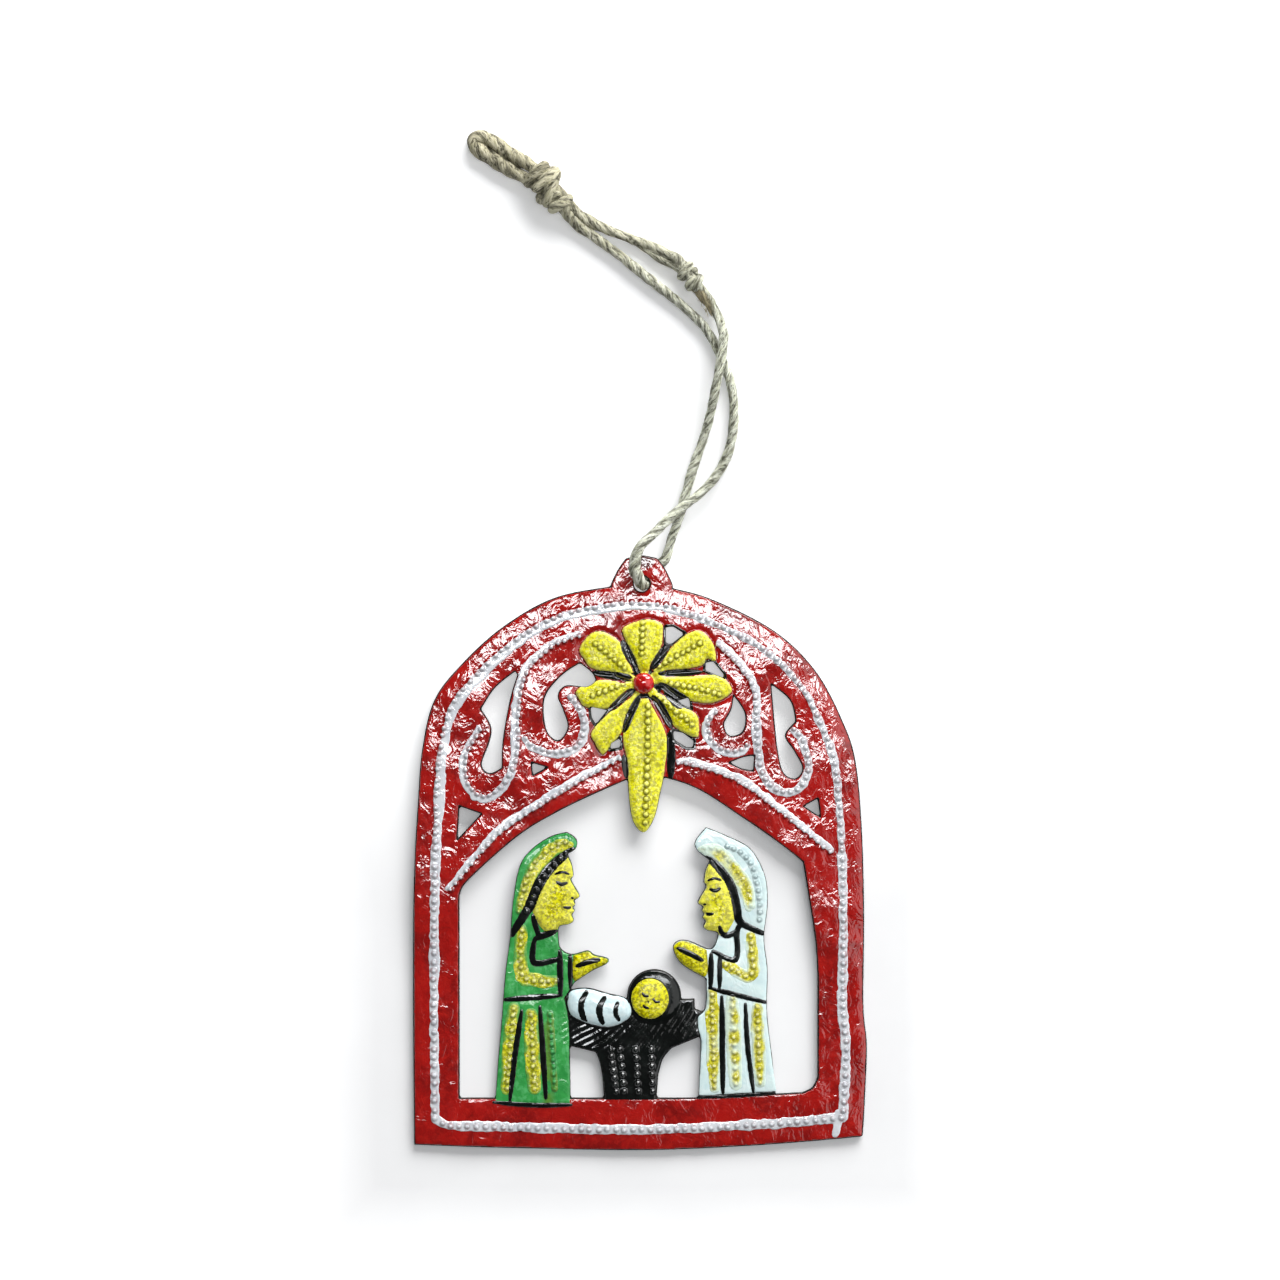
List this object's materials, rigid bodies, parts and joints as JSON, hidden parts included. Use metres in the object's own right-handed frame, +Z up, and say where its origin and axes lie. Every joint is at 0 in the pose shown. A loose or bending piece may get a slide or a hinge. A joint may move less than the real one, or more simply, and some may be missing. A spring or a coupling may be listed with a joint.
{
  "type": "nativity ornament",
  "caption": "Flat arched ornament of cut and painted sheet steel with pierced scrolls, a raised star and robed figures at a manger, hung by a knotted loop of twine.",
  "frame": {"origin": "on the table, below the middle of the sheet with its tab", "axes": "+X to the right as the face is seen, +Y towards the hanging tab and the loop, +Z up out of the painted face"},
  "size_m": [0.0772, 0.1735, 0.0052],
  "materials": {
    "steel": "dark drum steel, bare on edges and back",
    "red_enamel": "glossy enamel under varnish",
    "white_enamel": "glossy enamel",
    "black_enamel": "glossy enamel",
    "gold_enamel": "metallic yellow enamel",
    "green_enamel": "glossy enamel",
    "pale_blue_enamel": "glossy enamel",
    "boss_enamel": "glossy enamel",
    "twine": "laid natural twine"
  },
  "bodies": {
    "ornament": {"steel_sheet": "steel", "frame_red_coat": "red_enamel", "border_stripe": "white_enamel", "arch_stripe_left": "white_enamel", "arch_stripe_right": "white_enamel", "scroll_outer_left": "white_enamel", "scroll_inner_left": "white_enamel", "scroll_outer_right": "white_enamel", "scroll_inner_right": "white_enamel", "star_ground": "black_enamel", "star_petal_top": "gold_enamel", "star_petal_upper_right": "gold_enamel", "star_petal_right": "gold_enamel", "star_petal_lower_right": "gold_enamel", "star_petal_lower_left": "gold_enamel", "star_petal_left": "gold_enamel", "star_petal_upper_left": "gold_enamel", "star_tail": "gold_enamel", "star_boss": "boss_enamel", "left_robe": "green_enamel", "left_face": "gold_enamel", "left_hands": "gold_enamel", "left_veil_band": "gold_enamel", "left_sleeve_trim": "gold_enamel", "left_skirt_row_1": "gold_enamel", "left_skirt_row_2": "gold_enamel", "left_skirt_row_3": "green_enamel", "right_robe": "pale_blue_enamel", "right_face": "gold_enamel", "right_hands": "gold_enamel", "right_veil_band": "gold_enamel", "right_veil_edge": "pale_blue_enamel", "right_sleeve_trim": "gold_enamel", "right_skirt_row_1": "gold_enamel", "right_skirt_row_2": "gold_enamel", "right_skirt_row_3": "gold_enamel", "manger": "black_enamel", "swaddling": "pale_blue_enamel", "child_hair": "black_enamel", "child_face": "gold_enamel", "twine_bight": "twine"},
    "hanger": {"twine_front_leg": "twine", "twine_back_leg": "twine", "twine_join_knot": "twine", "twine_top_strand": "twine", "twine_long_tail": "twine", "twine_short_tail": "twine", "twine_loop_knot": "twine", "twine_eye": "twine"}
  },
  "joints": [
    {"name": "loop_swing", "type": "hinge", "parent": "ornament", "child": "hanger", "pos_m": [0.0003, 0.0511, 0.00525], "axis": [1, 0, 0], "range_deg": [0, 170]}
  ]
}
